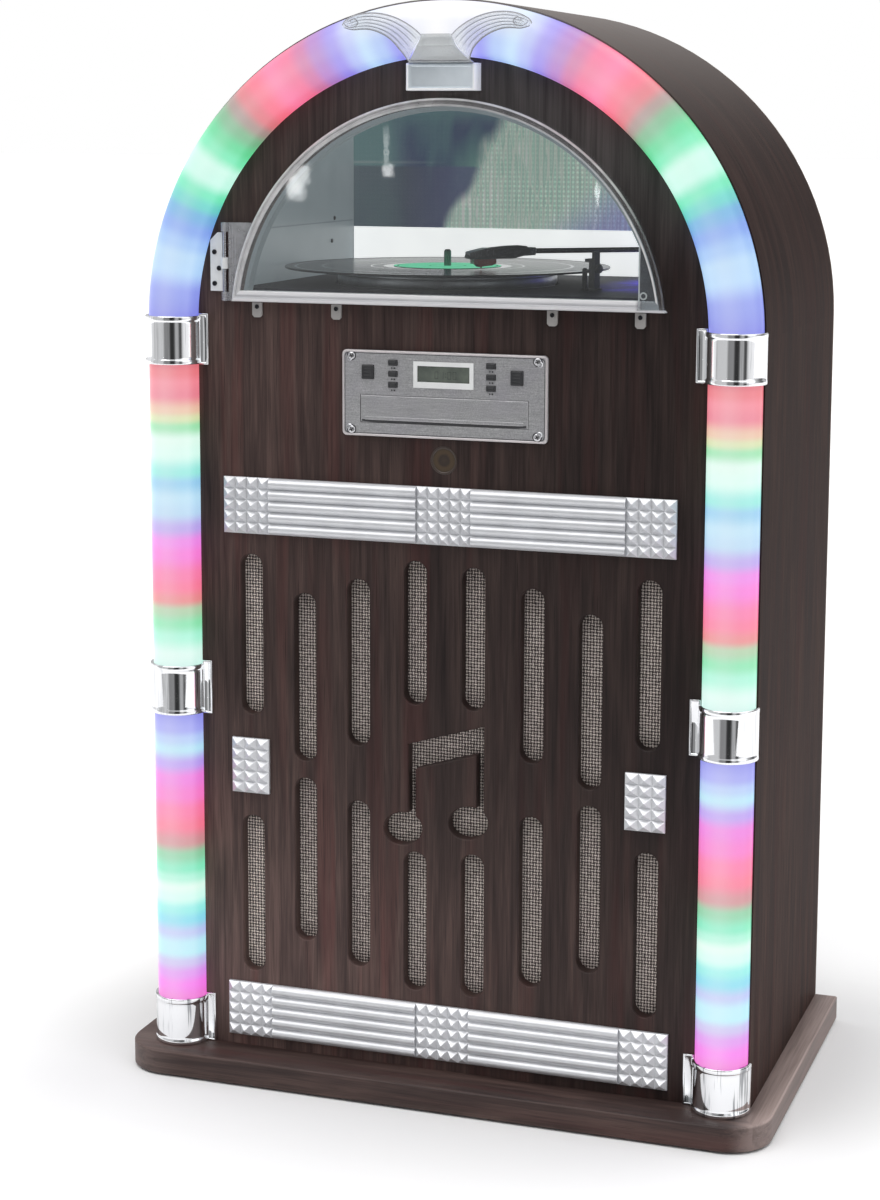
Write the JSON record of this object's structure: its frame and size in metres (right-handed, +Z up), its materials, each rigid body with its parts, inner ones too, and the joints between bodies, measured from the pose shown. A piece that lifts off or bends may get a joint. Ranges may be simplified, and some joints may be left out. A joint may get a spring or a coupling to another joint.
{
  "type": "vinyl jukebox",
  "caption": "Arched free-standing jukebox: record deck behind a clear half-moon door, disc module with sliding tray, lit front tubes, slotted speaker front.",
  "frame": {"origin": "middle of the bounding box's footprint, at the level of the feet", "axes": "+Z up, the front faces -Y, +X to the right seen from the front"},
  "size_m": [0.6072, 0.3546, 0.9797],
  "materials": {
    "arm_metal": "black satin",
    "base_wood": "satin dark base board",
    "belt": "flat ground belt",
    "black_plastic": "fine textured black plastic",
    "brass": "gold-flashed contacts",
    "cartridge": "red-brown translucent plastic",
    "cast": "die-cast, satin",
    "chrome": "polished chrome plate",
    "clear": "clear acrylic, polished edges",
    "cloth": "open woven loudspeaker cloth",
    "cone": "pressed paper cone",
    "deck": "dark gloss moulding",
    "diffuser": "translucent opal plastic lit from behind",
    "foil": "iridescent reflective foil",
    "hardboard": "plain hardboard",
    "ir": "deep red-brown infrared window",
    "lcd": "grey-green liquid-crystal pane",
    "led": "white circuit strip with light-emitting diodes",
    "liner": "grey gloss sheet",
    "mat_rubber": "fine ribbed rubber",
    "pcb": "green circuit board with parts",
    "pom": "white acetal",
    "pressed_steel": "black pressed steel",
    "rubber": "moulded rubber",
    "satin_silver": "satin silver, bright bevels",
    "screw_steel": "bright zinc-plated",
    "shelf": "chipboard",
    "silver_plastic": "silver painted plastic",
    "smoke": "dark translucent plastic",
    "steel": "plated steel",
    "transformer": "varnished laminations",
    "vinyl": "grooved black vinyl with a green paper label",
    "white_plastic": "white moulded plastic",
    "wood": "satin dark walnut veneer on chipboard",
    "zinc": "zinc-plated sheet"
  },
  "bodies": {
    "cabinet": {"amplifier_board": "pcb", "arch_diffusers": "diffuser", "arch_panel": "wood", "arm_rest": "black_plastic", "back_panel": "hardboard", "base_plinth": "base_wood", "bay_liners": "liner", "cd_faceplate": "satin_silver", "cd_module_case": "zinc", "clamp_rings": "chrome", "column_diffusers": "diffuser", "crown_block": "silver_plastic", "crown_crest": "clear", "deck_shelf": "shelf", "display_bezel": "white_plastic", "display_glass": "lcd", "door_clips": "white_plastic", "drive_belt": "belt", "foot_pads": "rubber", "front_panel": "wood", "grille_cloth": "cloth", "hinge_pin": "steel", "hinge_plate": "white_plastic", "ir_window": "ir", "led_strips": "led", "left_side_panel": "wood", "power_transformer": "transformer", "rear_foil": "foil", "rear_sockets": "brass", "right_side_panel": "wood", "silver_trims": "silver_plastic", "terminal_dish": "black_plastic", "turntable_deck": "deck", "turntable_motor": "steel", "tweeters": "cone", "wood_screws": "screw_steel", "woofer_baskets": "pressed_steel", "woofer_cones": "cone"},
    "door": {"clear_door": "clear", "latch_plate": "smoke"},
    "tray": {"cd_tray": "satin_silver"},
    "pinion": {"tray_pinion": "pom"},
    "disc_hub_body": {"disc_hub": "black_plastic"},
    "left_button_1_body": {"left_button_1": "black_plastic"},
    "left_button_2_body": {"left_button_2": "black_plastic"},
    "left_button_3_body": {"left_button_3": "black_plastic"},
    "right_button_1_body": {"right_button_1": "black_plastic"},
    "right_button_2_body": {"right_button_2": "black_plastic"},
    "right_button_3_body": {"right_button_3": "black_plastic"},
    "standby_key_body": {"standby_key": "black_plastic"},
    "function_key_body": {"function_key": "black_plastic"},
    "rocker": {"power_rocker": "black_plastic"},
    "platter_body": {"platter": "cast", "slip_mat": "mat_rubber", "vinyl_record": "vinyl"},
    "pulley": {"motor_pulley": "brass"},
    "arm_yoke": {"arm_gimbal": "arm_metal"},
    "arm": {"tonearm": "arm_metal", "cartridge": "cartridge"},
    "lever": {"cue_lever": "black_plastic"}
  },
  "joints": [
    {"name": "door_hinge", "type": "hinge", "parent": "cabinet", "child": "door", "pos_m": [-0.206, -0.1392, 0.75], "axis": [0, 0, -1], "range_deg": [0, 110]},
    {"name": "tray_slide", "type": "slide", "parent": "cabinet", "child": "tray", "axis": [0, -1, 0], "range_m": [0, 0.137]},
    {"name": "pinion_spin", "type": "hinge", "parent": "cabinet", "child": "pinion", "pos_m": [-0.068, -0.1106, 0.6175], "axis": [0, 0, -1], "range_deg": [-1, 985]},
    {"name": "disc_hub_spin", "type": "hinge", "parent": "cabinet", "child": "disc_hub_body", "pos_m": [0, -0.0596, 0.6245], "axis": [0, 0, 1], "continuous": true},
    {"name": "left_button_1_press", "type": "slide", "parent": "cabinet", "child": "left_button_1_body", "axis": [0, 1, 0], "range_m": [0, 0.0012], "stiffness_N_per_m": 400},
    {"name": "left_button_2_press", "type": "slide", "parent": "cabinet", "child": "left_button_2_body", "axis": [0, 1, 0], "range_m": [0, 0.0012], "stiffness_N_per_m": 400},
    {"name": "left_button_3_press", "type": "slide", "parent": "cabinet", "child": "left_button_3_body", "axis": [0, 1, 0], "range_m": [0, 0.0012], "stiffness_N_per_m": 400},
    {"name": "right_button_1_press", "type": "slide", "parent": "cabinet", "child": "right_button_1_body", "axis": [0, 1, 0], "range_m": [0, 0.0012], "stiffness_N_per_m": 400},
    {"name": "right_button_2_press", "type": "slide", "parent": "cabinet", "child": "right_button_2_body", "axis": [0, 1, 0], "range_m": [0, 0.0012], "stiffness_N_per_m": 400},
    {"name": "right_button_3_press", "type": "slide", "parent": "cabinet", "child": "right_button_3_body", "axis": [0, 1, 0], "range_m": [0, 0.0012], "stiffness_N_per_m": 400},
    {"name": "standby_key_press", "type": "slide", "parent": "cabinet", "child": "standby_key_body", "axis": [0, 1, 0], "range_m": [0, 0.0012], "stiffness_N_per_m": 400},
    {"name": "function_key_press", "type": "slide", "parent": "cabinet", "child": "function_key_body", "axis": [0, 1, 0], "range_m": [0, 0.0012], "stiffness_N_per_m": 400},
    {"name": "rocker_tilt", "type": "hinge", "parent": "cabinet", "child": "rocker", "pos_m": [0.048, 0.1563, 0.1305], "axis": [1, 0, 0], "range_deg": [0, 14]},
    {"name": "platter_spin", "type": "hinge", "parent": "cabinet", "child": "platter_body", "pos_m": [-0.05, 0.0164, 0.7295], "axis": [0, 0, 1], "continuous": true},
    {"name": "pulley_spin", "type": "hinge", "parent": "cabinet", "child": "pulley", "pos_m": [-0.124, 0.0164, 0.7295], "axis": [0, 0, 1], "continuous": true},
    {"name": "tonearm_swing", "type": "hinge", "parent": "cabinet", "child": "arm_yoke", "pos_m": [0.15, 0.0794, 0.7605], "axis": [0, 0, 1], "range_deg": [-6, 34.4]},
    {"name": "tonearm_lift", "type": "hinge", "parent": "arm_yoke", "child": "arm", "pos_m": [0.15, 0.0794, 0.7605], "axis": [-0.5793, 0.8151, 0], "range_deg": [0, 10]},
    {"name": "cue_lever_turn", "type": "hinge", "parent": "cabinet", "child": "lever", "pos_m": [0.183, 0.0624, 0.7405], "axis": [-1, 0, 0], "range_deg": [0, 50]}
  ],
  "couplings": [
    {"joint": "pinion_spin", "follows": "tray_slide", "rad_per_m": 125},
    {"joint": "pulley_spin", "follows": "platter_spin", "ratio": 8.7037},
    {"joint": "tonearm_lift", "follows": "cue_lever_turn", "ratio": 0.2}
  ]
}
